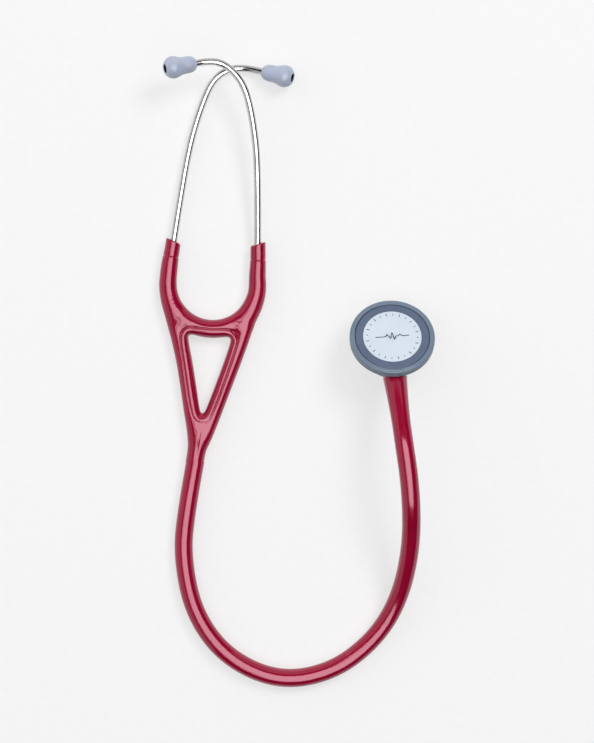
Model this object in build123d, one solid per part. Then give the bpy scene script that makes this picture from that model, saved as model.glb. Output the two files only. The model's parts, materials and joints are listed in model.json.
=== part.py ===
from build123d import *
import math
import os

# A double-sided stethoscope lying on a table, in millimetres. +Z is up, the table is Z = 0, and the
# ear tubes point along +Y. The origin is the bottom centre of the headset, yoke and chestpiece.

# Tubing
TUBE_R = 5.2                    # free tube, outer radius
TUBE_BORE_R = 2.25              # one bore with the area of the two air passages
TUBE_Z = 5.25                   # height of the tubing's centre line on the table
LEG_R = 4.6                     # legs of the yoke
LUMEN_R = 1.5                   # air passage in each leg and arm
U_CENTRE = (-47.0, -12.5)       # centre of the U between the ear tubes
U_INNER_R = 20.4
U_THICKNESS = 10.5
YOKE_END = (-57.0, -113.2)      # where the legs have become the single tube
WEB_THICKNESS = 5.0             # thin webs in the upper corners of the yoke's window
WEBS = [
    [(-66.0, -38.2), (-58.0, -41.7), (-61.5, -47.2)],
    [(-40.5, -42.2), (-32.0, -41.2), (-36.5, -47.7)],
]
YOKE_STUB = 9.0                 # length of single tube moulded onto the legs

# Centre line of the free tube, from the yoke to the stem's shoulder. The last two points are worked
# out from the stem.
TUBE_ROUTE = [
    (*YOKE_END, 5.25),
    (-62.4, -142.7, 5.25),
    (-64.5, -168.0, 5.25),
    (-57.9, -200.6, 5.25),
    (-39.3, -225.6, 5.25),
    (-9.8, -238.1, 5.25),
    (21.0, -233.9, 5.25),
    (44.8, -215.6, 5.25),
    (58.9, -192.2, 10.0),
    (65.0, -160.8, 26.5),
    (63.8, -127.4, 43.2),
]
STEM_RUN = 30.0                 # straight run of the route in front of the stem

# Legs of the yoke, from the U's ends to the single tube
LEFT_LEG = [(-72.65, -12.5), (-71.5, -27.7), (-64.9, -52.7), (-60.3, -82.7), YOKE_END]
RIGHT_LEG = [(-21.35, -12.5), (-24.0, -25.7), (-35.0, -52.7), (-47.1, -84.7), YOKE_END]

# Ear tubes. The left one lies on the table and the right one crosses over it.
EAR_TUBE_R = 2.05
EAR_TUBE_BORE_R = 1.5
LEFT_EAR = [
    (-71.4, -0.7, 5.25),
    (-64.5, 44.3, 4.6),
    (-59.0, 72.8, 4.0),
    (-51.1, 96.3, 3.4),
    (-46.1, 104.9, 3.0),
    (-38.8, 110.3, 2.7),
    (-29.3, 111.1, 2.7),
]
RIGHT_EAR = [
    (-21.7, -2.7, 5.6),
    (-20.9, 51.3, 13.1),
    (-24.0, 80.3, 17.0),
    (-28.5, 97.8, 19.6),
    (-35.1, 106.9, 20.6),
    (-42.5, 111.7, 20.9),
    (-50.2, 111.8, 21.3),
]
LEFT_TIP_ENTRY = (-18.6, 108.4, 5.9)
RIGHT_TIP_ENTRY = (-56.1, 110.4, 23.5)

# Ear tips, measured along their axis from the end where the tube goes in
TIP_LENGTH = 18.4
TIP_BULB_R = 6.3
TIP_WAIST_R = 4.85
TIP_MOUTH_R = 2.25
TIP_CLEARANCE = 0.05
TUBE_IN_TIP = 9.5               # length of ear tube inside the tip
SNAP_START = 5.9                # snap groove near the tube's end
SNAP_WIDTH = 1.0
SNAP_FLOOR_R = 1.78
INSERT_R = 3.4
INSERT_START = 1.5
INSERT_END = 10.5

# Sleeves that grip the ear tubes
SLEEVE_ROOT_R = 5.0
SLEEVE_R = 4.3
SLEEVE_CUT_DEG = 15.0
LEFT_SLEEVE_BACK = 3.54         # from the ear tube's lower end back to the sleeve's root
LEFT_SLEEVE_LENGTH = 16.2
RIGHT_SLEEVE_BACK = 2.52
RIGHT_SLEEVE_LENGTH = 15.0

# Headset spring, a flat strip on edge inside the moulding
SPRING_CENTRE = (-46.55, -12.5)
SPRING_R = 21.95
SPRING_THICKNESS = 0.6
SPRING_WIDTH = 3.2
SPRING_TOP_Y = 2.2
CLIP_R = 3.85
CLIP_LENGTH = 3.0
CLIP_START = 0.1
CLIP_REACH = 2.7                # from the ear tube's axis towards the spring
CLIP_WIDTH = 5.5

# Chestpiece, in its own frame: +z is the adult face's normal and the stem points along -y
HEAD_XY = (54.0, -48.9)
HEAD_TILT_DEG = 30.0
HEAD_YAW_DEG = 6.0
HEAD_ROLL_DEG = 4.0
ADULT_Z = 12.5                  # the adult face stands this far from the stem's axis
PAEDIATRIC_Z = 12.0
ADULT_R = 23.9
PAEDIATRIC_R = 13.2
RIM_WALL = 1.9
RIM_LIP = 0.9
RIM_DEPTH = 5.0
RIM_LIP_DEPTH = 1.2
RIM_ROUND = 0.8
FLANGE_LIP = 0.8                # the rim's foot reaches this far under the cup's edge
CONE_R = 14.6                   # where the waist has opened into the adult cup
CONE_Z = 4.8
ADULT_SURROUND = 4.6            # width of the flexible ring round the stiff disc
PAEDIATRIC_SURROUND = 3.2
SKIN_THICKNESS = 0.5
SKIN_SET_BACK = 0.3             # the skins lie this far behind the rim's face
CUP_WALL = 0.9
CUP_DEPTH = 1.0
CUP_CONE = 1.0
CHANNEL_R = 2.0
WAIST_R = 10.8
WAIST_HALF = 1.6
BOSS_R = 5.8
BOSS_END = 19.0
BORE_R = 3.45
BORE_BACK = 5.0
STEM_CLEARANCE = 0.05
STEM_BACK = 4.5
STEM_BORE_R = 1.3
COLLAR_R = 4.9
COLLAR_START = 19.3
COLLAR_END = 20.6
SHOULDER_R = 4.2
SHOULDER_END = 22.5
BARB_END = 34.0
SEAL_Y = 13.0
SEAL_R = 0.43
SEAL_MIDDLE_R = 2.95
SEAL_GROOVE_HALF = 0.6
SEAL_GROOVE_R = 2.5
RING_Y = 17.0
RING_HALF = 0.4
RING_INNER_R = 2.9
RING_OUTER_R = 4.2
RING_PLAY = 0.05
DETENT_Y = 5.0
DETENT_HOLE_R = 1.3
BALL_R = 1.1
BALL_X = 4.2
DETENT_GROOVE_R = 3.0
DETENT_GROOVE_HALF = 1.0
DIMPLE_R = 1.25
DIMPLE_X = 4.1
DETENT_SPRING_END = 7.2
DETENT_SPRING_R = 1.0
DETENT_SPRING_BORE_R = 0.6
DETENT_SCREW_END = 9.5
HEX_ACROSS_R = 0.75
HEX_DEPTH = 1.2


def unit(vector):
    return vector / vector.length


def bend_radii(points):
    """The largest arcs that fit: 0.45 of the shorter run over the tangent of half the turn."""
    spots = [Vector(*p) for p in points]
    radii = []
    for before, here, after in zip(spots, spots[1:], spots[2:]):
        run_in = here - before
        run_out = after - here
        half_turn = math.radians(run_in.get_angle(run_out)) / 2
        radii.append(0.45 * min(run_in.length, run_out.length) / math.tan(half_turn))
    return radii


def smooth_path(points):
    return FilletPolyline(*points, radius=bend_radii(points))


def round_bar(path, radius):
    section = Plane(origin=path @ 0, z_dir=path % 0) * Circle(radius)
    return sweep(section, path=path)


def along(start, direction, x_dir=None):
    """A frame whose z runs along a direction."""
    return Plane(origin=start, x_dir=x_dir, z_dir=direction).location


def turned(points, axis=Axis.Z):
    """A body of revolution from (radius, height) points."""
    outline = Polyline(*[(r, 0, z) for r, z in points], close=True)
    return revolve(make_face(outline), axis=axis)


def rod(radius, low, high):
    """A cylinder on the z axis between two heights."""
    return Pos(0, 0, (low + high) / 2) * Cylinder(radius, high - low)


def flat(points, z=TUBE_Z):
    return [(x, y, z) for x, y in points]


# ---- shared directions and places ----

left_axis = unit(Vector(*LEFT_EAR[1]) - Vector(*LEFT_EAR[0]))
right_axis = unit(Vector(*RIGHT_EAR[1]) - Vector(*RIGHT_EAR[0]))
left_tip_axis = unit(Vector(*LEFT_TIP_ENTRY) - Vector(*LEFT_EAR[-1]))
right_tip_axis = unit(Vector(*RIGHT_TIP_ENTRY) - Vector(*RIGHT_EAR[-1]))
left_sleeve_root = Vector(*LEFT_EAR[0]) - left_axis * LEFT_SLEEVE_BACK
right_sleeve_root = Vector(*RIGHT_EAR[0]) - right_axis * RIGHT_SLEEVE_BACK

turn = Rotation(0, 0, HEAD_YAW_DEG) * Rotation(-HEAD_TILT_DEG, 0, 0) * Rotation(0, HEAD_ROLL_DEG, 0)
head_z_dir = (turn * Pos(0, 0, 1)).position
stem_dir = (turn * Pos(0, -1, 0)).position
slope = math.sqrt(1 - head_z_dir.Z ** 2)
HEAD_HEIGHT = (PAEDIATRIC_Z - RIM_ROUND) * head_z_dir.Z + (PAEDIATRIC_R - RIM_ROUND) * slope + RIM_ROUND
head_centre = Vector(HEAD_XY[0], HEAD_XY[1], HEAD_HEIGHT)
head_frame = Pos(*head_centre) * turn
tube_end = head_centre + stem_dir * SHOULDER_END
route = TUBE_ROUTE + [tuple(tube_end + stem_dir * STEM_RUN), tuple(tube_end)]


# ---- tubing ----

def spring_strip():
    left_x = SPRING_CENTRE[0] - SPRING_R
    right_x = SPRING_CENTRE[0] + SPRING_R
    base_y = SPRING_CENTRE[1]
    bottom = (SPRING_CENTRE[0], base_y - SPRING_R, TUBE_Z)
    left_leg = Line((left_x, SPRING_TOP_Y, TUBE_Z), (left_x, base_y, TUBE_Z))
    bend = ThreePointArc((left_x, base_y, TUBE_Z), bottom, (right_x, base_y, TUBE_Z))
    right_leg = Line((right_x, base_y, TUBE_Z), (right_x, SPRING_TOP_Y, TUBE_Z))
    path = Curve() + [left_leg, bend, right_leg]
    start = Plane(origin=(left_x, SPRING_TOP_Y, TUBE_Z), x_dir=(1, 0, 0), z_dir=(0, -1, 0))
    return sweep(start * Rectangle(SPRING_THICKNESS, SPRING_WIDTH), path=path.wire())


def yoke(strip):
    middle_r = U_INNER_R + U_THICKNESS / 2
    left = (U_CENTRE[0] - middle_r, U_CENTRE[1], TUBE_Z)
    right = (U_CENTRE[0] + middle_r, U_CENTRE[1], TUBE_Z)
    bottom = (U_CENTRE[0], U_CENTRE[1] - middle_r, TUBE_Z)
    body = round_bar(ThreePointArc(left, bottom, right), U_THICKNESS / 2)
    end = Vector(*route[0])
    end_dir = unit(Vector(*route[1]) - end)
    body += along(end - end_dir * YOKE_STUB, end_dir) * rod(TUBE_R, 0, YOKE_STUB)
    passages = []
    for leg in (LEFT_LEG, RIGHT_LEG):
        path = smooth_path(flat(leg))
        body += round_bar(path, LEG_R)
        passages.append(round_bar(path, LUMEN_R))
    for web in WEBS:
        face = make_face(Polyline(*[(x, y, TUBE_Z - WEB_THICKNESS / 2) for x, y in web], close=True))
        body += extrude(face, WEB_THICKNESS, dir=(0, 0, 1))
    beyond = along(end, end_dir) * rod(20.0, 0, 12.0)
    above = Pos(U_CENTRE[0], U_CENTRE[1] + 10.0, TUBE_Z) * Box(90.0, 20.0, 30.0)
    body = body - beyond - above
    for passage in passages:
        body -= passage
    return body - strip


def flex_arm(x, root, axis, strip):
    """Joins the U's end to the sleeve's root, with the air passage through it."""
    end = Plane(origin=(x, U_CENTRE[1], TUBE_Z), x_dir=(1, 0, 0), z_dir=(0, 1, 0))
    top = Plane(origin=root, x_dir=(1, 0, 0), z_dir=axis)
    body = loft([end * Circle(U_THICKNESS / 2), top * Circle(SLEEVE_ROOT_R)], ruled=True)
    passage = loft([end * Circle(LUMEN_R), top * Circle(LUMEN_R)], ruled=True)
    return body - passage - strip


def spring_clip(foot, axis, side, strip):
    """A crimp round the ear tube's lower end and the spring's end."""
    frame = along(foot, axis, (side, 0, 0))
    block = Pos((CLIP_R - CLIP_REACH) / 2, 0, CLIP_START + CLIP_LENGTH / 2)
    body = block * Box(CLIP_R + CLIP_REACH, CLIP_WIDTH, CLIP_LENGTH)
    body &= rod(CLIP_R, CLIP_START, CLIP_START + CLIP_LENGTH)
    body -= rod(EAR_TUBE_R, 0, CLIP_LENGTH + 1)
    return (frame * body) - strip


def sleeve(root, axis, side, back, length, clip, strip):
    frame = along(root, axis, (side, 0, 0))
    body = turned([
        (0, 0), (SLEEVE_ROOT_R, 0), (SLEEVE_ROOT_R, 2.0), (SLEEVE_R + 0.1, 6.5), (SLEEVE_R - 0.15, 7.5),
        (SLEEVE_R, 9.0), (SLEEVE_R, length + 3.0), (0, length + 3.0),
    ])
    cut = Pos(0, 0, length) * Rotation(0, SLEEVE_CUT_DEG, 0) * rod(12.0, 0, 12.0)
    body = body - cut - rod(LUMEN_R, -1, back) - rod(EAR_TUBE_R, back, length + 6)
    return (frame * body) - clip - strip


def main_tube():
    path = smooth_path(route)
    section = Plane(origin=path @ 0, z_dir=path % 0) * (Circle(TUBE_R) - Circle(TUBE_BORE_R))
    tube = sweep(section, path=path)
    wanted = math.pi * (TUBE_R ** 2 - TUBE_BORE_R ** 2) * path.length
    print("tube radii", [round(r, 1) for r in bend_radii(route)])
    print("tube length", round(path.length, 1), "volume ratio", round(tube.volume / wanted, 5))
    return tube


# ---- ear tubes and tips ----

def ear_tube(points, entry, axis):
    end = Vector(*entry) + axis * TUBE_IN_TIP
    path = smooth_path(points + [tuple(end)])
    section = Plane(origin=path @ 0, z_dir=path % 0) * (Circle(EAR_TUBE_R) - Circle(EAR_TUBE_BORE_R))
    tube = sweep(section, path=path)
    groove = rod(EAR_TUBE_R + 1, SNAP_START, SNAP_START + SNAP_WIDTH)
    groove -= rod(SNAP_FLOOR_R, SNAP_START, SNAP_START + SNAP_WIDTH)
    print("ear tube length", round(path.length, 1))
    return tube - along(entry, axis) * groove


def ear_tip(entry, axis):
    hole = EAR_TUBE_R + TIP_CLEARANCE
    skirt = Polyline((hole, 0, 0), (3.3, 0, 0.35), (4.6, 0, 3.2), (TIP_WAIST_R, 0, 7.4))
    bulb = ThreePointArc((TIP_WAIST_R, 0, 7.4), (TIP_BULB_R, 0, 13.3), (4.3, 0, 17.5))
    lip = ThreePointArc((4.3, 0, 17.5), (3.3, 0, TIP_LENGTH - 0.05), (TIP_MOUTH_R, 0, 17.6))
    inner = Polyline(
        (TIP_MOUTH_R, 0, 17.6), (TIP_MOUTH_R, 0, 13.0), (1.6, 0, 12.0), (1.6, 0, INSERT_END),
        (INSERT_R, 0, INSERT_END), (INSERT_R, 0, INSERT_START), (hole, 0, INSERT_START), (hole, 0, 0),
    )
    outline = Curve() + [skirt, bulb, lip, inner]
    return along(entry, axis) * revolve(make_face(outline.edges()), axis=Axis.Z)


def tip_insert(entry, axis):
    hole = EAR_TUBE_R + TIP_CLEARANCE
    rib = SNAP_FLOOR_R + TIP_CLEARANCE
    rib_start = SNAP_START + 0.1
    rib_end = SNAP_START + SNAP_WIDTH - 0.1
    stop = TUBE_IN_TIP + 0.1
    return along(entry, axis) * turned([
        (INSERT_R, INSERT_START), (INSERT_R, INSERT_END), (EAR_TUBE_BORE_R, INSERT_END),
        (EAR_TUBE_BORE_R, stop), (hole, stop), (hole, rib_end), (rib, rib_end), (rib, rib_start),
        (hole, rib_start), (hole, INSERT_START),
    ])


# ---- chestpiece, each piece in the head's own frame ----

def rim(outer_r, face_z):
    """A ring that snaps over the cup's edge, with a fine groove round its side."""
    wall = outer_r - RIM_WALL
    low = face_z - RIM_DEPTH
    flange_low = low + FLANGE_LIP
    lip = face_z - RIM_LIP_DEPTH
    ring = turned([
        (wall - RIM_LIP, lip), (wall - RIM_LIP, face_z), (outer_r, face_z), (outer_r, low + 2.3),
        (outer_r - 0.5, low + 2.0), (outer_r - 0.5, low + 1.7), (outer_r - 0.2, low + 1.5),
        (outer_r - 0.4, low), (wall - 0.6, low), (wall - 0.6, flange_low), (wall, flange_low), (wall, lip),
    ])
    outer_edge = ring.edges().filter_by(GeomType.CIRCLE).group_by(Axis.Z)[-1].sort_by(SortBy.LENGTH)[-1]
    return fillet(outer_edge, RIM_ROUND)


def skin(inner_r, outer_r, face_z):
    top = face_z - SKIN_SET_BACK
    disc = rod(outer_r, top - SKIN_THICKNESS, top)
    if inner_r:
        disc -= rod(inner_r, top - SKIN_THICKNESS, top)
    return disc


def chestpiece_body():
    def cup(outer_r, face_z):
        flange_r = outer_r - RIM_WALL
        low = face_z - RIM_DEPTH + FLANGE_LIP
        top = face_z - RIM_LIP_DEPTH
        inner_r = flange_r - CUP_WALL
        return [
            (flange_r - FLANGE_LIP, low - FLANGE_LIP / 2),
            (flange_r - FLANGE_LIP, low),
            (flange_r, low),
            (flange_r, top),
            (inner_r, top),
            (inner_r, top - CUP_DEPTH),
            (CHANNEL_R, top - CUP_DEPTH - CUP_CONE),
        ]

    upper = cup(ADULT_R, ADULT_Z)
    lower = [(r, -z) for r, z in reversed(cup(PAEDIATRIC_R, PAEDIATRIC_Z))]
    body = turned(
        [(0, lower[0][1])] + lower
        + [(WAIST_R, -WAIST_HALF), (WAIST_R, WAIST_HALF), (CONE_R, CONE_Z)]
        + upper + [(0, upper[-1][1])]
    )
    boss = Rotation(90, 0, 0) * rod(BOSS_R, 0, BOSS_END)
    bore = Rotation(90, 0, 0) * rod(BORE_R, -BORE_BACK, BOSS_END + 1)
    ring_room = Rotation(90, 0, 0) * rod(RING_OUTER_R + RING_PLAY, RING_Y - RING_HALF - RING_PLAY,
                                         RING_Y + RING_HALF + RING_PLAY)
    channel = rod(CHANNEL_R, -PAEDIATRIC_Z, ADULT_Z)
    detent = Pos(0, -DETENT_Y, 0) * Rotation(0, 90, 0) * rod(DETENT_HOLE_R, 0, WAIST_R + 4)
    return body + boss - bore - ring_room - channel - detent


def stem():
    journal = BORE_R - STEM_CLEARANCE
    along_y = Rotation(90, 0, 0)
    groove = DETENT_GROOVE_R
    half = DETENT_GROOVE_HALF
    body = along_y * turned([
        (0, -STEM_BACK), (journal, -STEM_BACK),
        (journal, DETENT_Y - half), (groove, DETENT_Y - half),
        (groove, DETENT_Y + half), (journal, DETENT_Y + half),
        (journal, SEAL_Y - SEAL_GROOVE_HALF), (SEAL_GROOVE_R, SEAL_Y - SEAL_GROOVE_HALF),
        (SEAL_GROOVE_R, SEAL_Y + SEAL_GROOVE_HALF), (journal, SEAL_Y + SEAL_GROOVE_HALF),
        (journal, RING_Y - RING_HALF - 0.1), (RING_INNER_R - 0.1, RING_Y - RING_HALF - 0.1),
        (RING_INNER_R - 0.1, RING_Y + RING_HALF + 0.1), (journal, RING_Y + RING_HALF + 0.1),
        (journal, COLLAR_START), (COLLAR_R, COLLAR_START), (COLLAR_R, COLLAR_END), (SHOULDER_R, COLLAR_END),
        (SHOULDER_R, SHOULDER_END), (TUBE_BORE_R, SHOULDER_END), (TUBE_BORE_R, BARB_END), (0, BARB_END),
    ])
    passage = along_y * rod(STEM_BORE_R, -STEM_BORE_R, BARB_END + 1)
    port = rod(STEM_BORE_R, 0, BORE_R + 1)
    body = body - passage - port
    for side in (-1, 1):
        body -= Pos(side * DIMPLE_X, -DETENT_Y, 0) * Sphere(DIMPLE_R)
    return body


def stem_seal():
    return Pos(0, -SEAL_Y, 0) * Rotation(90, 0, 0) * Torus(SEAL_MIDDLE_R, SEAL_R)


def stem_clip():
    ring = rod(RING_OUTER_R, RING_Y - RING_HALF, RING_Y + RING_HALF)
    ring -= rod(RING_INNER_R, RING_Y - RING_HALF, RING_Y + RING_HALF)
    gap = Pos(0, RING_OUTER_R, RING_Y) * Box(1.8, 2 * RING_OUTER_R, 2)
    return Rotation(90, 0, 0) * (ring - gap)


def detent_pieces():
    place = Pos(0, -DETENT_Y, 0)
    out = Rotation(0, 90, 0)
    ball = place * Pos(BALL_X, 0, 0) * Sphere(BALL_R)
    spring = rod(DETENT_SPRING_R, BALL_X + BALL_R, DETENT_SPRING_END)
    spring -= rod(DETENT_SPRING_BORE_R, BALL_X + BALL_R, DETENT_SPRING_END)
    screw = rod(DETENT_HOLE_R, DETENT_SPRING_END, DETENT_SCREW_END)
    key = Pos(0, 0, DETENT_SCREW_END - HEX_DEPTH) * extrude(RegularPolygon(HEX_ACROSS_R, 6), HEX_DEPTH)
    return {
        "detent_ball": ball,
        "detent_spring": place * out * spring,
        "detent_screw": place * out * (screw - key),
    }


# ---- assembly ----

strip = spring_strip()
left_foot = Vector(*LEFT_EAR[0])
right_foot = Vector(*RIGHT_EAR[0])
left_clip = spring_clip(left_foot, left_axis, 1, strip)
right_clip = spring_clip(right_foot, right_axis, -1, strip)
stub_r = U_INNER_R + U_THICKNESS / 2

nodes = {
    "yoke": yoke(strip),
    "left_flex_arm": flex_arm(U_CENTRE[0] - stub_r, left_sleeve_root, left_axis, strip),
    "right_flex_arm": flex_arm(U_CENTRE[0] + stub_r, right_sleeve_root, right_axis, strip),
    "left_sleeve": sleeve(
        left_sleeve_root, left_axis, 1, LEFT_SLEEVE_BACK, LEFT_SLEEVE_LENGTH, left_clip, strip
    ),
    "right_sleeve": sleeve(
        right_sleeve_root, right_axis, -1, RIGHT_SLEEVE_BACK, RIGHT_SLEEVE_LENGTH, right_clip, strip
    ),
    "main_tube": main_tube(),
    "headset_spring": strip,
    "left_spring_clip": left_clip,
    "right_spring_clip": right_clip,
    "left_ear_tube": ear_tube(LEFT_EAR, LEFT_TIP_ENTRY, left_tip_axis),
    "right_ear_tube": ear_tube(RIGHT_EAR, RIGHT_TIP_ENTRY, right_tip_axis),
    "left_ear_tip": ear_tip(LEFT_TIP_ENTRY, left_tip_axis),
    "right_ear_tip": ear_tip(RIGHT_TIP_ENTRY, right_tip_axis),
    "left_tip_insert": tip_insert(LEFT_TIP_ENTRY, left_tip_axis),
    "right_tip_insert": tip_insert(RIGHT_TIP_ENTRY, right_tip_axis),
}

over = Rotation(180, 0, 0)
adult_window = ADULT_R - RIM_WALL - RIM_LIP
paediatric_window = PAEDIATRIC_R - RIM_WALL - RIM_LIP
head_pieces = {
    "stem": stem(),
    "stem_seal": stem_seal(),
    "stem_clip": stem_clip(),
    "chestpiece_body": chestpiece_body(),
    "adult_rim": rim(ADULT_R, ADULT_Z),
    "adult_surround": skin(adult_window - ADULT_SURROUND, adult_window, ADULT_Z),
    "adult_diaphragm": skin(0, adult_window - ADULT_SURROUND, ADULT_Z),
    "paediatric_rim": over * rim(PAEDIATRIC_R, PAEDIATRIC_Z),
    "paediatric_surround": over * skin(
        paediatric_window - PAEDIATRIC_SURROUND, paediatric_window, PAEDIATRIC_Z
    ),
    "paediatric_diaphragm": over * skin(0, paediatric_window - PAEDIATRIC_SURROUND, PAEDIATRIC_Z),
} | detent_pieces()
for name, piece in head_pieces.items():
    nodes[name] = head_frame * piece

os.makedirs("parts", exist_ok=True)
for name, piece in nodes.items():
    export_step(piece, f"parts/{name}.step")

print("head height", round(HEAD_HEIGHT, 3), "normal", head_z_dir, "stem", stem_dir, "tube end", tube_end)
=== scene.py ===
import json
import math

import bpy
import numpy as np
from mathutils import Matrix, Vector


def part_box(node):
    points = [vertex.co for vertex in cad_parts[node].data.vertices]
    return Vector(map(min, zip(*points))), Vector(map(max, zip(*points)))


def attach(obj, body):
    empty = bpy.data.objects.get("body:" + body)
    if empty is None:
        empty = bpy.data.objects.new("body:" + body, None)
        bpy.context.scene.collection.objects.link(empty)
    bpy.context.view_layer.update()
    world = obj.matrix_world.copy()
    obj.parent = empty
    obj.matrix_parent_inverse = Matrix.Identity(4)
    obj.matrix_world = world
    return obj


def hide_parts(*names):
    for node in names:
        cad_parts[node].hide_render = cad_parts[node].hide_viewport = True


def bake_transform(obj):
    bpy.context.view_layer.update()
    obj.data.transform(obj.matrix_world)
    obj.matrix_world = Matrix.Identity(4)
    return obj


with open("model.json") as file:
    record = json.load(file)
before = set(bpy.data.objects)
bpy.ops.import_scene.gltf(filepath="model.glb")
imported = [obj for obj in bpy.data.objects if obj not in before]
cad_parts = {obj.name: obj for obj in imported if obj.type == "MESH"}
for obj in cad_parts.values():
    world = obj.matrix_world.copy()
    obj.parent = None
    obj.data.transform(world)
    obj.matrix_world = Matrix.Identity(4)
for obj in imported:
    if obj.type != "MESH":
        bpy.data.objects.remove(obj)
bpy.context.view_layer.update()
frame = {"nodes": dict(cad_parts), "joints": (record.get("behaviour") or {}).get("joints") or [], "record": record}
joints = {joint["name"]: joint for joint in frame["joints"]}
MM = 0.001


# ---------------------------------------------------------------- places taken from the frame

head_pivot = Vector(joints["head_turn"]["pos_m"])
stem_dir = Vector(joints["head_turn"]["axis"]).normalized()
adult_normal = -Vector(joints["adult_press"]["axis"]).normalized()
head_x = (-stem_dir).cross(adult_normal).normalized()
head_frame = Matrix((
    (head_x.x, -stem_dir.x, adult_normal.x, head_pivot.x),
    (head_x.y, -stem_dir.y, adult_normal.y, head_pivot.y),
    (head_x.z, -stem_dir.z, adult_normal.z, head_pivot.z),
    (0, 0, 0, 1),
))
yoke_low, yoke_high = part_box("yoke")
U_X = (yoke_low.x + yoke_high.x) / 2 / MM
U_Y = yoke_high.y / MM
TUBE_Z = yoke_high.z / 2 / MM

# Outer dimensions that the CAD model keeps too, in millimetres
TUBE_R = 5.2
EAR_TUBE_R = 2.05
SHOULDER_END = 22.5             # from the head's pivot to the tube's end, along the stem
STEM_RUN = 30.0
COLLAR_COVER = 2.9              # how far the tube's flared mouth reaches over the stem's shoulder


# ---------------------------------------------------------------- small helpers

def new_object(name, mesh, smooth=True):
    piece = bpy.data.objects.new(name, mesh)
    bpy.context.scene.collection.objects.link(piece)
    mesh.polygons.foreach_set("use_smooth", [smooth] * len(mesh.polygons))
    return piece


def mesh_from(name, points, faces, scale=MM):
    mesh = bpy.data.meshes.new(name)
    mesh.from_pydata([tuple(Vector(p) * scale) for p in points], [], [list(map(int, f)) for f in faces])
    mesh.update()
    return mesh


def smooth_line(points, steps=8, closed=False):
    """A Catmull-Rom curve through the points, as an array with steps samples between two points."""
    points = np.array(points, float)
    if closed:
        ring = np.vstack([points[-1:], points, points[:2]])
    else:
        ring = np.vstack([2 * points[:1] - points[1:2], points, 2 * points[-1:] - points[-2:-1]])
    out = []
    for i in range(len(ring) - 3):
        a, b, c, d = ring[i:i + 4]
        for k in range(steps):
            t = k / steps
            out.append(0.5 * (2 * b + (c - a) * t + (2 * a - 5 * b + 4 * c - d) * t ** 2
                              + (3 * b - a - 3 * c + d) * t ** 3))
    if not closed:
        out.append(ring[-2])
    return np.array(out)


def lathe(name, profile, matrix, sides=96, closed=True):
    """A body of revolution about the matrix's z axis, from a (radius, height) outline in millimetres."""
    rings = len(profile)
    points = []
    for r, z in profile:
        for k in range(sides):
            angle = 2 * math.pi * k / sides
            points.append(matrix @ (Vector((r * math.cos(angle), r * math.sin(angle), z)) * MM))
    faces = []
    for i in range(rings if closed else rings - 1):
        for k in range(sides):
            a, b = i * sides + k, i * sides + (k + 1) % sides
            c, d = ((i + 1) % rings) * sides + (k + 1) % sides, ((i + 1) % rings) * sides + k
            faces.append((a, b, c, d))
    mesh = mesh_from(name, points, faces, scale=1)
    piece = new_object(name, mesh)
    return piece


# ---------------------------------------------------------------- materials

def material(name, color, roughness, metallic=0.0, **sockets):
    mat = bpy.data.materials.new(name)
    mat.use_nodes = True
    shader = mat.node_tree.nodes["Principled BSDF"]
    shader.inputs["Base Color"].default_value = (*color, 1)
    shader.inputs["Roughness"].default_value = roughness
    shader.inputs["Metallic"].default_value = metallic
    for socket, value in sockets.items():
        shader.inputs[socket.replace("_", " ")].default_value = value
    return mat, shader


def noise(mat, scale, detail=3.0, rough=0.5, stretch=None):
    nodes, links = mat.node_tree.nodes, mat.node_tree.links
    coords = nodes.new("ShaderNodeTexCoord")
    texture = nodes.new("ShaderNodeTexNoise")
    texture.inputs["Scale"].default_value = scale
    texture.inputs["Detail"].default_value = detail
    texture.inputs["Roughness"].default_value = rough
    if stretch:
        mapping = nodes.new("ShaderNodeMapping")
        mapping.inputs["Scale"].default_value = stretch
        links.new(coords.outputs["Object"], mapping.inputs["Vector"])
        links.new(mapping.outputs["Vector"], texture.inputs["Vector"])
    else:
        links.new(coords.outputs["Object"], texture.inputs["Vector"])
    return texture.outputs["Fac"]


def spread(mat, value, low, high):
    """Maps the middle of a noise to the range low to high."""
    node = mat.node_tree.nodes.new("ShaderNodeMapRange")
    node.inputs["From Min"].default_value = 0.3
    node.inputs["From Max"].default_value = 0.7
    node.inputs["To Min"].default_value = low
    node.inputs["To Max"].default_value = high
    mat.node_tree.links.new(value, node.inputs["Value"])
    return node.outputs["Result"]


def tint(mat, value, dark, light):
    node = mat.node_tree.nodes.new("ShaderNodeMix")
    node.data_type = "RGBA"
    node.inputs["A"].default_value = (*dark, 1)
    node.inputs["B"].default_value = (*light, 1)
    mat.node_tree.links.new(value, node.inputs["Factor"])
    return node.outputs["Result"]


def bump(mat, shader, value, strength, distance):
    node = mat.node_tree.nodes.new("ShaderNodeBump")
    node.inputs["Strength"].default_value = strength
    node.inputs["Distance"].default_value = distance
    mat.node_tree.links.new(value, node.inputs["Height"])
    mat.node_tree.links.new(node.outputs["Normal"], shader.inputs["Normal"])


def tubing_material():
    mat, shader = material("tubing_burgundy", (0.25, 0.002, 0.024), 0.16, IOR=1.75,
                           Specular_Tint=(1.0, 0.60, 0.72, 1.0), Coat_Weight=0.12, Coat_Roughness=0.04)
    links = mat.node_tree.links
    cloud = spread(mat, noise(mat, 45), 0, 1)
    links.new(tint(mat, cloud, (0.262, 0.0010, 0.023), (0.298, 0.0016, 0.029)), shader.inputs["Base Color"])
    links.new(spread(mat, noise(mat, 260), 0.11, 0.17), shader.inputs["Roughness"])
    bump(mat, shader, noise(mat, 120, 2), 0.05, 0.0004)
    return mat


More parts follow.
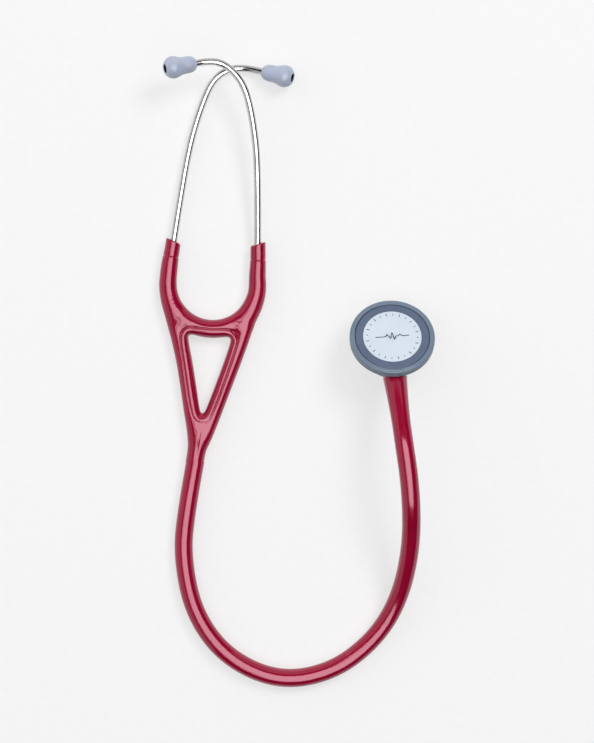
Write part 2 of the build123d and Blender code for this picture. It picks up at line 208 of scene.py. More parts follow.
def steel_material(name, color, low, high, stretch=None, scale=400, strength=0.03):
    mat, shader = material(name, color, low, metallic=1.0)
    grain = noise(mat, scale, 3, 0.6, stretch)
    links = mat.node_tree.links
    links.new(spread(mat, grain, low, high), shader.inputs["Roughness"])
    shade = tuple(0.9 * c for c in color)
    links.new(tint(mat, spread(mat, noise(mat, 60), 0, 1), shade, color), shader.inputs["Base Color"])
    bump(mat, shader, grain, strength, 0.00005)
    return mat


def soft_material(name, dark, light, low, high, grain_scale, grain_strength, grain_depth, **sockets):
    mat, shader = material(name, light, low, **sockets)
    links = mat.node_tree.links
    links.new(tint(mat, spread(mat, noise(mat, 90), 0, 1), dark, light), shader.inputs["Base Color"])
    grain = noise(mat, grain_scale, 4, 0.6)
    links.new(spread(mat, grain, low, high), shader.inputs["Roughness"])
    bump(mat, shader, grain, grain_strength, grain_depth)
    return mat


tubing = tubing_material()
tube_steel = steel_material("ear_tube_steel", (0.66, 0.66, 0.67), 0.13, 0.17, strength=0.004)
machined_steel = steel_material("machined_steel", (0.66, 0.66, 0.67), 0.16, 0.30, scale=900)
spring_steel = steel_material("spring_steel", (0.50, 0.51, 0.53), 0.25, 0.40)
tip_silicone = soft_material("tip_silicone", (0.37, 0.41, 0.53), (0.41, 0.455, 0.58), 0.24, 0.34,
                             2500, 0.08, 0.00008, Subsurface_Weight=0.15, Subsurface_Scale=0.002)
tip_core = soft_material("tip_core", (0.02, 0.02, 0.025), (0.03, 0.03, 0.035), 0.4, 0.6, 1500, 0.1, 0.0001)
rim_rubber = soft_material("rim_elastomer", (0.128, 0.172, 0.236), (0.150, 0.198, 0.268), 0.22, 0.32,
                           2200, 0.10, 0.00008)
surround_rubber = soft_material("surround_elastomer", (0.076, 0.105, 0.170), (0.090, 0.123, 0.193), 0.38, 0.50,
                                2600, 0.12, 0.00008)
disc_resin = soft_material("diaphragm_resin", (0.55, 0.618, 0.706), (0.59, 0.657, 0.745), 0.30, 0.42,
                           3000, 0.12, 0.00005)
print_ink = soft_material("print_ink", (0.010, 0.014, 0.030), (0.020, 0.025, 0.045), 0.35, 0.5, 2500, 0.05, 0.00003)
# near-black matte finish for the plug in each ear tip's mouth: painted shade standing in for the dark inside of the
# hole
painted_mouth_shade = soft_material("painted_mouth_shade", (0.004, 0.005, 0.008), (0.006, 0.007, 0.011), 0.85, 0.95,
                            1500, 0.05, 0.00005, Specular_IOR_Level=0.05)
seal_rubber = soft_material("seal_rubber", (0.01, 0.01, 0.01), (0.02, 0.02, 0.02), 0.4, 0.6, 1500, 0.1, 0.0001)

finish_of = {
    "tubing": tubing, "tube_steel": tube_steel, "tip_silicone": tip_silicone, "tip_core": tip_core,
    "rim_elastomer": rim_rubber, "surround_elastomer": surround_rubber, "diaphragm_resin": disc_resin,
    "machined_steel": machined_steel, "spring_steel": spring_steel, "seal_rubber": seal_rubber,
}
for part in frame["record"]["subparts"]:
    node = frame["nodes"][part["node"]]
    node.data.materials.clear()
    node.data.materials.append(finish_of[part["material_slot"]])


# ---------------------------------------------------------------- moulded yoke, as one blended skin

SKIN_STEP = 0.38                # spacing of the grid that the skin is drawn out of
BLEND = 2.8                     # how far the bars flow into each other
COARSE = 4                      # grid steps between the samples of the first pass
REACH = 14.0                    # bars further away than this along y don't count
CREASE_FROM_HOLE = 4.6
BEAD_FROM_HOLE = 2.9            # the rounded bead that runs round the window: its middle and its half sizes
BEAD_HALF = 2.4
BEAD_TALL = 4.4
BEAD_BLEND = 1.4
CREASE_DEPTH = 0.48
CREASE_HALF = 0.50

# Bars as (x, y, z, radius) points; the right arm rises towards its sleeve
RISE = math.tan(math.radians(8.0))
z0 = TUBE_Z
left_bar = [
    (-69.3, 13.6, z0, 4.28), (-70.3, 7.0, z0, 4.35), (-70.95, 3.4, z0, 4.55), (-71.9, -3.0, z0, 4.85),
    (-72.7, -12.5, z0, 4.95), (-71.8, -21.0, z0, 4.9), (-69.6, -30.7, z0, 4.7), (-66.4, -43.0, z0, 4.6),
    (-63.5, -56.0, z0, 4.6), (-61.2, -70.0, z0, 4.6), (-59.2, -84.0, z0, 4.6), (-57.6, -94.0, z0, 4.6),
    (-56.9, -102.0, z0, 4.5), (-57.0, -109.0, z0, 4.47), (-58.1, -118.5, z0, 4.47),
]
right_bar = [
    (-21.3, 11.6, z0 + 14.1 * RISE, 4.28), (-21.3, 5.0, z0 + 7.5 * RISE, 4.35), (-21.4, -1.6, z0 + 0.9, 4.55),
    (-21.7, -8.0, z0 + 0.15, 4.8), (-21.9, -16.5, z0, 4.9), (-23.9, -24.5, z0, 4.85), (-27.6, -34.0, z0, 4.7),
    (-31.4, -45.5, z0, 4.6), (-35.6, -57.0, z0, 4.6), (-39.8, -68.0, z0, 4.6), (-44.2, -79.5, z0, 4.6),
    (-48.6, -91.0, z0, 4.6), (-52.2, -100.0, z0, 4.5), (-55.8, -108.0, z0, 4.47), (-58.1, -118.5, z0, 4.47),
]
U_MIDDLE_R = 25.6
U_BAR_R = 5.15
U_END_R = 3.3                   # the crossbar thins out inside the arms
U_FADE = 38.0
u_bar = []
for angle in np.linspace(180, 360, 37):
    inward = min(1, min(angle - 180, 360 - angle) / U_FADE)
    radius = U_END_R + (U_BAR_R - U_END_R) * inward * inward * (3 - 2 * inward)
    turned = math.radians(angle)
    u_bar.append((U_X + U_MIDDLE_R * math.cos(turned), U_Y + U_MIDDLE_R * math.sin(turned), z0, radius))
WEBS = (                        # flat-topped fillets where the bars meet, each a short bar
    ((-64.6, -34.8, z0, 4.4), (-62.4, -36.6, z0, 4.3)),
    ((-29.2, -35.2, z0, 4.4), (-31.6, -36.8, z0, 4.3)),
    ((-53.7, -91.2, z0, 4.3), (-55.2, -101.0, z0, 4.1)),
)
hole = [(-61.2, -42.4), (-59.6, -41.4), (-49.5, -43.0), (-40.0, -42.9), (-37.6, -43.6), (-37.4, -45.8),
        (-42.6, -61.5), (-48.5, -78.0), (-52.2, -86.4), (-53.3, -87.2), (-54.4, -86.0), (-56.4, -76.0),
        (-58.7, -59.0)]


def rounded_ring(points, rounds):
    """Cuts the corners of a closed outline again and again, which rounds them."""
    ring = np.array(points, float)
    for _ in range(rounds):
        after = np.roll(ring, -1, axis=0)
        ring = np.stack([0.75 * ring + 0.25 * after, 0.25 * ring + 0.75 * after], 1).reshape(-1, 2)
    return ring


def bar_segments(points, steps=4):
    line = smooth_line(points, steps)
    return line[:-1], line[1:]


def bar_distance(p, segments):
    """Signed distance to a bar whose radius varies along it."""
    best = np.full(len(p), 1e3, np.float32)
    low, high = p[:, 1].min() - REACH, p[:, 1].max() + REACH
    for a, b in zip(*segments):
        if max(a[1], b[1]) < low or min(a[1], b[1]) > high:
            continue
        along = b[:3] - a[:3]
        t = np.clip(((p - a[:3]) @ along) / (along @ along), 0, 1)
        gap = p - a[:3] - t[:, None] * along
        best = np.minimum(best, np.sqrt((gap * gap).sum(1)) - (a[3] + (b[3] - a[3]) * t))
    return best


def soft_min(a, b, k):
    h = np.clip(0.5 + 0.5 * (b - a) / k, 0, 1)
    return b + (a - b) * h - k * h * (1 - h)


def soft_max(a, b, k):
    return -soft_min(-a, -b, k)


def outline_distance(p, ring):
    """Distance in plan from the closed outline, negative inside it."""
    best = np.full(len(p), 1e9)
    inside = np.zeros(len(p), bool)
    for a, b in zip(ring, np.roll(ring, -1, axis=0)):
        along = b - a
        t = np.clip(((p - a) @ along) / (along @ along), 0, 1)
        gap = p - a - t[:, None] * along
        best = np.minimum(best, (gap * gap).sum(1))
        crosses = (a[1] > p[:, 1]) != (b[1] > p[:, 1])
        with np.errstate(divide="ignore", invalid="ignore"):
            at = a[0] + (p[:, 1] - a[1]) * (b[0] - a[0]) / (b[1] - a[1])
        inside ^= crosses & (p[:, 0] < at)
    return np.where(inside, -1, 1) * np.sqrt(best)


left_segments = bar_segments(left_bar)
right_segments = bar_segments(right_bar)
u_segments = (np.array(u_bar)[:-1], np.array(u_bar)[1:])
webs = np.array(WEBS)
web_segments = (webs[:, 0], webs[:, 1])
hole_ring = rounded_ring(hole, 3)
INSIDE_TUBE = 2.0               # how far the yoke's skin runs on inside the tube's first stretch
tube_start = Vector((-57.0, -113.2, TUBE_Z))
tube_start_dir = Vector((-5.4, -29.5, 0)).normalized()


SLEEVES = [
    # end centre, axis of the ear tube, outward side of the oblique cut
    ((-69.45, 12.0, TUBE_Z), Vector((6.9, 45.0, -0.65)).normalized(), -1),
    ((-21.45, 10.2, TUBE_Z + 1.83), Vector((0.8, 54.0, 7.5)).normalized(), 1),
]
CUT_TILT = math.tan(math.radians(17.0))
RING_BACK = 8.8                 # from a sleeve's end back to the fine ring round it
HOLE_R = 2.3
HOLE_DEPTH = 4.0


def skin_distance(p):
    p = np.asarray(p, np.float32)
    f = soft_min(bar_distance(p, left_segments), bar_distance(p, right_segments), BLEND)
    f = soft_min(f, bar_distance(p, u_segments), BLEND)
    f = soft_min(f, bar_distance(p, web_segments), BLEND)
    d_hole = outline_distance(p[:, :2].astype(float), hole_ring)
    bead = np.sqrt(((d_hole - BEAD_FROM_HOLE) / BEAD_HALF) ** 2 + ((p[:, 2] - TUBE_Z) / BEAD_TALL) ** 2) - 1
    f = soft_min(f, np.where(d_hole < 12, bead * BEAD_HALF, 50), BEAD_BLEND)
    lowering = np.exp(-((d_hole - CREASE_FROM_HOLE) / CREASE_HALF) ** 2)
    top = np.clip((np.abs(p[:, 2] - TUBE_Z) - 2.0) / 1.5, 0, 1)
    f = f + CREASE_DEPTH * np.interp(-p[:, 1], [80, 90], [1, 0.3]) * lowering * top
    # the two air passages show as a crease that fades along the single tube
    below = p[:, 1] < -93
    middle = np.interp(-p[:, 1], [92, 100, 116], [-53.3, -54.6, -57.3])
    fade = np.interp(-p[:, 1], [95, 103, 113], [0, 1, 0])
    f = f + 0.40 * fade * below * top * np.exp(-((p[:, 0] - middle) / 0.6) ** 2)
    for end, axis, outward in SLEEVES:
        rel = p - np.array(end, np.float32)
        along = rel @ np.array(axis, np.float32)
        side = rel[:, 0] * outward
        near = (np.abs(rel[:, 0]) < 9) & (along > -16)
        radial = np.sqrt(np.maximum((rel * rel).sum(1) - along ** 2, 0))
        cut = along - CUT_TILT * side
        f = np.where(near, soft_max(f, cut, 0.9), f)
        socket = np.maximum(radial - HOLE_R, -(along + HOLE_DEPTH))
        f = np.where(near, soft_max(f, -socket, 0.35), f)
        f = np.where(near, f + 0.26 * np.exp(-((along + RING_BACK) / 0.55) ** 2), f)
    past = (p - np.array(tube_start)) @ np.array(tube_start_dir) - INSIDE_TUBE
    return np.maximum(f, past)


def surface_nets(values, origin, step):
    """Points and quads of the zero surface of a grid of signed distances."""
    sign = values < 0
    nx, ny, nz = values.shape
    corners = [(i, j, k) for i in (0, 1) for j in (0, 1) for k in (0, 1)]
    edges = [(a, b) for a in corners for b in corners
             if sum(abs(u - v) for u, v in zip(a, b)) == 1 and a < b]

    def at(grid, c):
        return grid[c[0]:nx - 1 + c[0], c[1]:ny - 1 + c[1], c[2]:nz - 1 + c[2]]

    total = np.zeros((nx - 1, ny - 1, nz - 1, 3), np.float32)
    count = np.zeros((nx - 1, ny - 1, nz - 1), np.float32)
    for a, b in edges:
        crossing = at(sign, a) != at(sign, b)
        va, vb = at(values, a), at(values, b)
        with np.errstate(divide="ignore", invalid="ignore"):
            t = np.where(crossing, va / (va - vb), 0)
        for axis in range(3):
            total[..., axis] += np.where(crossing, a[axis] + (b[axis] - a[axis]) * t, 0)
        count += crossing
    active = count > 0
    index = np.full(active.shape, -1)
    index[active] = np.arange(active.sum())
    cells = np.argwhere(active)
    points = origin + (cells + total[active] / count[active][:, None]) * step
    quads = []
    for axis in range(3):
        u, v = [k for k in range(3) if k != axis]
        first = [slice(1, -1)] * 3
        first[axis] = slice(0, -1)
        second = list(first)
        second[axis] = slice(1, None)
        a, b = sign[tuple(first)], sign[tuple(second)]
        spots = np.argwhere(a != b)
        spots[:, u] += 1
        spots[:, v] += 1
        inward = sign[tuple(spots.T)]
        ring = []
        for du, dv in ((-1, -1), (0, -1), (0, 0), (-1, 0)):
            cell = spots.copy()
            cell[:, u] += du
            cell[:, v] += dv
            ring.append(index[tuple(cell.T)])
        quad = np.stack(ring, 1)
        flip = inward if axis != 1 else ~inward
        quad[~flip] = quad[~flip][:, ::-1]
        quads.append(quad)
    return points, np.vstack(quads)


def distances(p, size=20000):
    """Signed distances of many points, worked out in slices along y."""
    order = np.argsort(p[:, 1], kind="stable")
    out = np.empty(len(p), np.float32)
    for i in range(0, len(p), size):
        some = order[i:i + size]
        out[some] = skin_distance(p[some])
    return out


TETRA = np.array([(1, 1, 1), (1, -1, -1), (-1, 1, -1), (-1, -1, 1)]) / math.sqrt(3)


def value_and_normal(p, reach=0.06):
    """Signed distance and outward direction, from four samples round each point."""
    samples = np.stack([distances(p + reach * corner) for corner in TETRA], 1)
    out = samples @ TETRA
    return samples.mean(1), out / np.maximum(np.linalg.norm(out, axis=1), 1e-9)[:, None]


def yoke_skin():
    low = np.array([-79.5, -117.5, -1.0])
    high = np.array([-14.5, 16.5, 13.5])
    counts = np.ceil((high - low) / SKIN_STEP).astype(int) + 1
    axes = [low[k] + SKIN_STEP * np.arange(counts[k]) for k in range(3)]
    grid = np.stack(np.meshgrid(*axes, indexing="ij"), -1)
    coarse_grid = grid[::COARSE, ::COARSE, ::COARSE]
    coarse = distances(coarse_grid.reshape(-1, 3)).reshape(coarse_grid.shape[:3])
    for axis in range(3):
        coarse = np.repeat(coarse, COARSE, axis=axis)
    values = coarse[:counts[0], :counts[1], :counts[2]].copy()
    near = np.abs(values) < COARSE * SKIN_STEP * 2.2
    values[near] = distances(grid[near])
    points, quads = surface_nets(values, low, SKIN_STEP)
    for _ in range(2):
        value, normals = value_and_normal(points)
        points = points - normals * value[:, None] * 0.9
    return points, quads, value_and_normal(points)[1]


points, quads, normals = yoke_skin()
ARM_CUT_Y = -21.0
middle = points[quads].mean(1)
on_arm = middle[:, 1] > ARM_CUT_Y
pieces_of_skin = {
    "yoke_skin": ~on_arm,
    "left_arm_skin": on_arm & (middle[:, 0] < U_X),
    "right_arm_skin": on_arm & (middle[:, 0] >= U_X),
}


def skin_piece(name, chosen):
    faces = quads[chosen]
    used, renumbered = np.unique(faces, return_inverse=True)
    mesh = mesh_from(name, points[used], renumbered.reshape(-1, 4))
    piece = new_object(name, mesh)
    mesh.normals_split_custom_set_from_vertices([tuple(n) for n in normals[used]])
    mesh.materials.append(tubing)
    return piece


skins = {name: skin_piece(name, chosen) for name, chosen in pieces_of_skin.items()}
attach(skins["yoke_skin"], "tubing")
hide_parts("yoke")
for side, end in (("left", SLEEVES[0][0]), ("right", SLEEVES[1][0])):
    piece = skins[f"{side}_arm_skin"]
    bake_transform(piece)
    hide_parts(f"{side}_flex_arm", f"{side}_sleeve")


# ---------------------------------------------------------------- free tube

tube_end = head_pivot + stem_dir * SHOULDER_END * MM
ROUTE = [
    (-0.0570, -0.1132, 0.00525),
    (-0.0624, -0.1427, 0.00525),
    (-0.0645, -0.1680, 0.00525),
    (-0.0579, -0.2006, 0.00525),
    (-0.0393, -0.2256, 0.00525),
    (-0.0093, -0.2390, 0.00525),
    (0.0210, -0.2336, 0.00525),
    (0.0448, -0.2156, 0.00525),
    (0.0589, -0.1922, 0.0100),
    (0.0650, -0.1608, 0.0265),
    (0.0638, -0.1274, 0.0432),
    tuple(tube_end + stem_dir * STEM_RUN * MM),
    tuple(tube_end),
]


def nurbs_line(name, route, resolution=24):
    curve = bpy.data.curves.new(name, "CURVE")
    curve.dimensions = "3D"
    spline = curve.splines.new("NURBS")
    spline.points.add(len(route) - 1)
    for point, place in zip(spline.points, route):
        point.co = (*place, 1)
    spline.order_u = 3
    spline.use_endpoint_u = True
    curve.resolution_u = resolution
    holder = bpy.data.objects.new(name, curve)
    bpy.context.scene.collection.objects.link(holder)
    bpy.context.view_layer.update()
    mesh = bpy.data.meshes.new_from_object(holder)
    line = np.array([v.co for v in mesh.vertices], float)
    bpy.data.objects.remove(holder)
    bpy.data.curves.remove(curve)
    bpy.data.meshes.remove(mesh)
    return line


def even_line(line, step):
    lengths = np.concatenate([[0], np.cumsum(np.linalg.norm(np.diff(line, axis=0), axis=1))])
    count = max(2, int(round(lengths[-1] / step)) + 1)
    at = np.linspace(0, lengths[-1], count)
    return np.stack([np.interp(at, lengths, line[:, k]) for k in range(3)], 1), at


GROOVE_ANGLE = 0.075            # half width of the groove, as an angle round the tube


def swept_tube(line, radii, groove_depths, sides):
    """An open tube whose first side always faces up, with a fine groove along its top and bottom."""
    tangents = np.gradient(line, axis=0)
    tangents /= np.linalg.norm(tangents, axis=1)[:, None]
    up = np.array([0.0, 0.0, 1.0])
    side = np.cross(tangents, up)
    side /= np.linalg.norm(side, axis=1)[:, None]
    top = np.cross(side, tangents)
    angles = np.linspace(0, 2 * math.pi, sides, endpoint=False)
    lift = np.cos(angles)
    groove = np.exp(-((np.minimum(angles, 2 * math.pi - angles)) / GROOVE_ANGLE) ** 2)
    groove += np.exp(-((angles - math.pi) / GROOVE_ANGLE) ** 2)
    points = []
    for centre, s, t, radius, depth in zip(line, side, top, radii, groove_depths):
        ring = radius - depth * groove
        points.append(centre + (np.sin(angles) * ring)[:, None] * s + (lift * ring)[:, None] * t)
    points = np.vstack(points)
    faces = []
    for i in range(len(line) - 1):
        for k in range(sides):
            n = (k + 1) % sides
            faces.append((i * sides + k, i * sides + n, (i + 1) * sides + n, (i + 1) * sides + k))
    return points, faces, tangents


tube_line, tube_at = even_line(nurbs_line("route", ROUTE), 0.0014)
collar = np.array(stem_dir) * -COLLAR_COVER * MM
tube_line = np.vstack([tube_line, tube_line[-1] + collar / 2, tube_line[-1] + collar])
tube_at = np.append(tube_at, tube_at[-1] + np.array([0.5, 1.0]) * COLLAR_COVER * MM)
tube_length = float(tube_at[-1])
from_end = tube_length - tube_at
FLARE = 1.55 * MM               # how much the tube widens where it is pushed on the stem
FLARE_LENGTH = 30.0 * MM
GROOVE_DEPTH = 0.10 * MM
GROOVE_FADE_OUT = 35 * MM       # over this length the groove fades towards the stem
GROOVE_FADE_IN = 25 * MM        # and towards the yoke
flare = FLARE * np.clip(1 - from_end / FLARE_LENGTH, 0, 1) ** 1.5
radii = TUBE_R * MM + flare
from_end = np.maximum(from_end, 0)
groove_fade = np.clip(from_end / GROOVE_FADE_OUT, 0, 1) * np.clip(tube_at / GROOVE_FADE_IN, 0, 1)
sides = 64
tube_points, tube_faces, tube_tangents = swept_tube(tube_line, radii, GROOVE_DEPTH * groove_fade, sides)
MOUTH_SHARE = 0.66              # the mouth, as a share of the tube's outside
MOUTH_DEPTH = 3 * MM
inner = len(tube_points)
end_ring = tube_points[-sides:]
inner_ring = tube_line[-1] + (end_ring - tube_line[-1]) * MOUTH_SHARE
deep_ring = inner_ring - tube_tangents[-1] * MOUTH_DEPTH
tube_points = np.vstack([tube_points, inner_ring, deep_ring])
for level in range(2):
    for k in range(sides):
        n = (k + 1) % sides
        a = inner - sides + level * sides
        tube_faces.append((a + k, a + n, a + sides + n, a + sides + k))
tube_mesh = mesh_from("main_tube_skin", tube_points, tube_faces, scale=1)
tube_piece = new_object("main_tube_skin", tube_mesh)
tube_mesh.materials.append(tubing)
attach(tube_piece, "tubing")
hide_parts("main_tube")


# ---------------------------------------------------------------- ear tips

def frame_along(origin, direction):
    z = direction.normalized()
    x = Vector((0, 0, 1)).cross(z).normalized()
    y = z.cross(x)
    return Matrix(((x.x, y.x, z.x, origin.x), (x.y, y.y, z.y, origin.y), (x.z, y.z, z.z, origin.z), (0, 0, 0, 1)))


TIP_OUTSIDE = [(2.3, 0.0), (3.2, 0.35), (4.25, 1.9), (4.72, 3.7), (4.80, 5.6), (4.86, 7.6), (5.3, 9.6), (5.95, 11.5),
               (6.25, 13.3), (6.0, 15.0), (5.1, 16.7), (3.9, 17.9), (3.0, 18.3), (2.5, 18.1)]
TIP_INSIDE = [(2.4, 17.2), (2.1, 13.0), (1.6, 12.0), (1.6, 10.6), (2.15, 10.4), (2.15, 0.6)]
# outline of a thin plug that closes the tip's mouth; it carries the painted shade of the hole
TIP_MOUTH = [(0.01, 17.0), (2.2, 17.0), (2.5, 17.95), (2.3, 17.9), (1.6, 17.2), (0.01, 17.1)]
tip_profile = np.vstack([smooth_line(TIP_OUTSIDE, 5), np.array(TIP_INSIDE)])
for side in ("left", "right"):
    turn = joints[f"{side}_tip_turn"]
    place = frame_along(Vector(turn["pos_m"]), Vector(turn["axis"]))
    tip = lathe(f"{side}_tip_skin", tip_profile, place, sides=72)
    tip.data.materials.append(tip_silicone)
    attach(tip, f"{side}_tip")
    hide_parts(f"{side}_ear_tip")
    # a near-black plug in the mouth: painted shade where the hole looks dark
    plug = lathe(f"{side}_tip_painted_shade", TIP_MOUTH, place, sides=36)
    plug.data.materials.append(painted_mouth_shade)
    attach(plug, f"{side}_tip")


# ---------------------------------------------------------------- ear tubes

EAR_ROUTES = {
    "left": [(-71.4, -0.7, 5.25), (-64.5, 44.3, 4.6), (-59.0, 72.8, 4.0), (-51.1, 96.3, 3.4), (-46.1, 104.9, 3.0),
             (-38.8, 110.3, 2.7), (-29.3, 111.1, 2.7)],
    "right": [(-21.7, -2.7, 5.6), (-20.9, 51.3, 13.1), (-24.0, 80.3, 17.0), (-28.5, 97.8, 19.6),
              (-35.1, 106.9, 20.6), (-42.5, 111.7, 20.9), (-50.2, 111.8, 21.3)],
}
EAR_SIDES = 40
TUBE_IN_TIP = 9.5               # how far each ear tube goes into its tip
for side, route in EAR_ROUTES.items():
    turn = joints[f"{side}_tip_turn"]
    entry = Vector(turn["pos_m"])
    inside = entry + Vector(turn["axis"]) * TUBE_IN_TIP * MM
    line = nurbs_line("ear_route", [Vector(p) * MM for p in route] + [entry, inside], 16)
    line, _ = even_line(line, 0.0012)
    count = len(line)
    radii = np.full(count, EAR_TUBE_R * MM)
    ear_points, ear_faces, _ = swept_tube(line, radii, np.zeros(count), EAR_SIDES)
    last_ring = (count - 1) * EAR_SIDES
    ear_faces.append(tuple(range(EAR_SIDES - 1, -1, -1)))
    ear_faces.append(tuple(range(last_ring, last_ring + EAR_SIDES)))
    ear = new_object(f"{side}_ear_tube_skin", mesh_from(f"{side}_ear_tube_skin", ear_points, ear_faces, scale=1))
    ear.data.materials.append(tube_steel)
    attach(ear, f"{side}_arm")
    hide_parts(f"{side}_ear_tube")


# ---------------------------------------------------------------- chestpiece

ADULT_Z = 12.5
ADULT_R = 23.9
WINDOW_R = 21.1
DISC_R = 16.5


def ring_of(name, outline, mat, body, replaced, matrix=head_frame):
    piece = lathe(name, outline, matrix, sides=128)
    piece.data.materials.append(mat)
    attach(piece, body)
    if replaced:
        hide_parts(replaced)
    return piece


def rim_outline(outer_r, window_r, face_z):
    """A moulded ring: rounded shoulder, shallow dished top, fine step round the side."""
    return [
        (window_r + 0.02, face_z - 1.2), (window_r + 0.02, face_z - 0.35), (window_r + 0.15, face_z - 0.14),
        (window_r + 0.40, face_z - 0.06), (window_r + 0.9, face_z - 0.03), (outer_r - 1.55, face_z - 0.04),
        (outer_r - 1.42, face_z - 0.14), (outer_r - 1.28, face_z - 0.23), (outer_r - 1.06, face_z - 0.23),
        (outer_r - 0.92, face_z - 0.08), (outer_r - 0.66, face_z - 0.05), (outer_r - 0.34, face_z - 0.22),
        (outer_r - 0.1, face_z - 0.54),
        (outer_r, face_z - 0.95), (outer_r, face_z - 2.1), (outer_r - 0.06, face_z - 2.3),
        (outer_r - 0.4, face_z - 2.5),
        (outer_r - 0.5, face_z - 2.7), (outer_r - 0.42, face_z - 2.9), (outer_r - 0.12, face_z - 3.1),
        (outer_r - 0.05, face_z - 3.4), (outer_r - 0.05, face_z - 4.3), (outer_r - 0.3, face_z - 4.85),
        (outer_r - 1.0, face_z - 5.0), (outer_r - 2.45, face_z - 5.0), (outer_r - 2.5, face_z - 4.2),
    ]


ring_of("adult_rim_skin", rim_outline(ADULT_R, WINDOW_R, ADULT_Z), rim_rubber, "head", "adult_rim")
surround = [
    (DISC_R - 0.1, ADULT_Z - 0.8), (DISC_R - 0.1, ADULT_Z - 0.32), (DISC_R + 0.1, ADULT_Z - 0.28),
    (DISC_R + 1.2, ADULT_Z - 0.34), (DISC_R + 2.3, ADULT_Z - 0.38), (DISC_R + 3.4, ADULT_Z - 0.34),
    (WINDOW_R - 0.75, ADULT_Z - 0.28), (WINDOW_R - 0.6, ADULT_Z - 0.34), (WINDOW_R - 0.55, ADULT_Z - 0.78),
    (WINDOW_R - 0.02, ADULT_Z - 0.78), (WINDOW_R - 0.02, ADULT_Z - 0.95),
]
ring_of("adult_surround_skin", surround, surround_rubber, "head", "adult_surround")
disc = [
    (0.001, ADULT_Z - 0.7), (0.001, ADULT_Z - 0.16), (6.0, ADULT_Z - 0.17), (12.0, ADULT_Z - 0.2),
    (15.8, ADULT_Z - 0.24),
    (DISC_R - 0.25, ADULT_Z - 0.26), (DISC_R - 0.13, ADULT_Z - 0.36), (DISC_R - 0.13, ADULT_Z - 0.7),
]
ring_of("adult_disc_skin", disc, disc_resin, "adult_skin", "adult_diaphragm")


# ---------------------------------------------------------------- generic print on the adult disc

PRINT_Z = ADULT_Z - 0.185
INK = 0.035


def ink_strip(name, line, half):
    """A thin raised line on the disc, from points with a half width at each."""
    line = np.array(line, float)
    tangent = np.gradient(line, axis=0)
    tangent /= np.maximum(np.linalg.norm(tangent, axis=1), 1e-9)[:, None]
    across = np.stack([-tangent[:, 1], tangent[:, 0]], 1)
    half = np.asarray(half, float)[:, None] * np.ones((len(line), 1))
    left, right = line + across * half, line - across * half
    pts, faces = [], []
    for a, b in zip(left, right):
        for z in (PRINT_Z + INK, PRINT_Z - INK):
            pts.append(head_frame @ (Vector((a[0], a[1], z)) * MM))
            pts.append(head_frame @ (Vector((b[0], b[1], z)) * MM))
    for i in range(len(line) - 1):
        a = 4 * i
        faces += [(a, a + 1, a + 5, a + 4), (a + 2, a + 6, a + 7, a + 3), (a, a + 4, a + 6, a + 2),
                  (a + 1, a + 3, a + 7, a + 5)]
    faces += [(0, 2, 3, 1), (len(pts) - 4, len(pts) - 3, len(pts) - 1, len(pts) - 2)]
    piece = new_object(name, mesh_from(name, pts, faces, scale=1), smooth=False)
    piece.data.materials.append(print_ink)
    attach(piece, "adult_skin")
    return piece


TICKS = 24                      # plain marks near the disc's edge, like those of a dial
TICK_R = 14.2
for k in range(TICKS):
    angle = 2 * math.pi * (k + 0.5) / TICKS
    direction = np.array([math.cos(angle), math.sin(angle)])
    reach = 0.85 if k % 2 == 0 else 0.45
    ink_strip(f"print_tick_{k:02d}", [direction * (TICK_R - reach), direction * (TICK_R + reach)], [0.2, 0.2])
PULSE_HALF = 0.26               # an even line, much wider than it is tall
pulse = [(-9.5, 0.0), (-4.0, 0.0), (-3.0, 1.3), (-2.0, 0.0), (-1.0, -1.1), (0.0, 2.6), (1.0, -2.0), (2.0, 0.0),
         (3.2, 0.0), (4.4, 1.1), (5.6, 0.0), (9.5, 0.0)]
pulse_line = smooth_line(pulse, 4)
ink_strip("print_pulse", pulse_line, np.full(len(pulse_line), PULSE_HALF))


# ---------------------------------------------------------------- floor, light and camera

FLOOR_GLOW = 0.605              # a table lit from within, which keeps the shadows pale


def floor():
    size = 6.0
    mesh = mesh_from("floor", [(-size, -size, 0), (size, -size, 0), (size, size, 0), (-size, size, 0)],
                     [(0, 1, 2, 3)], scale=1)
    piece = new_object("floor", mesh, smooth=False)
    mat, shader = material("floor_paper", (0.30, 0.30, 0.30), 0.9, Emission_Color=(1, 1, 1, 1),
                           Emission_Strength=FLOOR_GLOW)
    shader.inputs["Specular IOR Level"].default_value = 0.1
    grain = noise(mat, 300)
    mat.node_tree.links.new(tint(mat, spread(mat, grain, 0, 1), (0.285, 0.285, 0.285), (0.300, 0.300, 0.300)),
                            shader.inputs["Base Color"])
    mesh.materials.append(mat)


def panel(name, place, aim, size, power, color=(1, 1, 1), diffuse=True, glossy=True):
    light = bpy.data.lights.new(name, "AREA")
    light.shape = "RECTANGLE"
    light.size, light.size_y = size
    light.energy = power
    light.color = color
    holder = bpy.data.objects.new(name, light)
    bpy.context.scene.collection.objects.link(holder)
    holder.location = place
    holder.rotation_euler = (Vector(aim) - Vector(place)).to_track_quat("-Z", "Y").to_euler()
    holder.visible_diffuse = diffuse
    holder.visible_glossy = glossy
    return holder


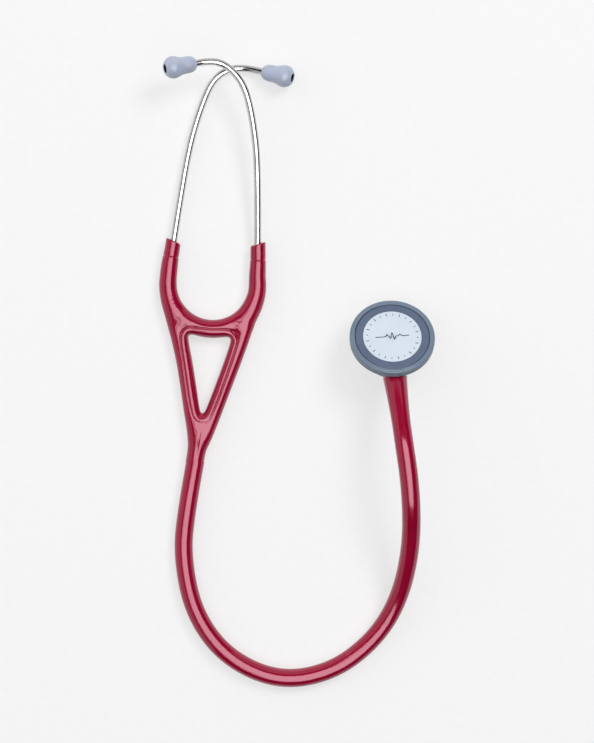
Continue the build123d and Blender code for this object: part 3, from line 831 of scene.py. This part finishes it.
CAMERA_HEIGHT = 1.15
VIEW_CENTRE = Vector((0.0009, -0.0624, 0))
VIEW_HEIGHT = 0.4235            # how much of the table the frame shows, top to bottom
BOX_HEIGHT = 1.3
BOX_EDGES = ((-0.50, -0.35), (-0.26, 0.95))      # two overhead boxes, from left to right
BOX_NEAR, BOX_FAR = -1.35, 0.42                   # their ends along y
BOX_RADIANCE = 4.6
FILL_RADIANCE = 0.62
DIFFUSE_TOP = 1.12
DIFFUSE_KEY = 10.0
DIFFUSE_LEFT = 1.0


def glow(name, place, aim, size, radiance, **seen):
    """A panel light with a given radiance over its face."""
    return panel(name, place, aim, size, radiance * math.pi * size[0] * size[1], **seen)


floor()
aim_x, aim_y = VIEW_CENTRE.x, VIEW_CENTRE.y
for side, (near_x, far_x) in zip(("left", "right"), BOX_EDGES):
    centre = ((near_x + far_x) / 2, (BOX_NEAR + BOX_FAR) / 2)
    glow(f"overhead_{side}", (*centre, BOX_HEIGHT), (*centre, 0), (far_x - near_x, BOX_FAR - BOX_NEAR),
         BOX_RADIANCE, diffuse=False)
glow("fill_left", (aim_x - 1.7, aim_y, 0.85), (aim_x, aim_y, 0.85), (4.0, 1.7), FILL_RADIANCE)
glow("fill_top", (aim_x, aim_y + 1.9, 0.85), (aim_x, aim_y, 0.85), (3.6, 1.7), FILL_RADIANCE)
glow("soft_top", (aim_x, aim_y, 1.8), (aim_x, aim_y, 0), (3.0, 3.0), DIFFUSE_TOP, glossy=False)
glow("soft_left", (aim_x - 1.5, aim_y + 0.6, 1.1), (aim_x, aim_y, 0), (1.6, 1.2), DIFFUSE_LEFT, glossy=False)
glow("key", (aim_x + 0.9, aim_y + 0.9, 1.7), (aim_x, aim_y, 0), (0.8, 0.8), DIFFUSE_KEY, glossy=False)
world = bpy.data.worlds.new("studio")
bpy.context.scene.world = world
world.use_nodes = True
world.node_tree.nodes["Background"].inputs["Color"].default_value = (1, 1, 1, 1)
world.node_tree.nodes["Background"].inputs["Strength"].default_value = 0.012

camera_data = bpy.data.cameras.new("camera")
camera_data.sensor_fit = "VERTICAL"
camera_data.sensor_height = 36
camera_data.lens = 36 * (CAMERA_HEIGHT - TUBE_Z * MM) / VIEW_HEIGHT
camera = bpy.data.objects.new("camera", camera_data)
bpy.context.scene.collection.objects.link(camera)
camera.location = (VIEW_CENTRE.x, VIEW_CENTRE.y, CAMERA_HEIGHT)
bpy.context.scene.camera = camera
bpy.context.scene.view_settings.view_transform = "Standard"
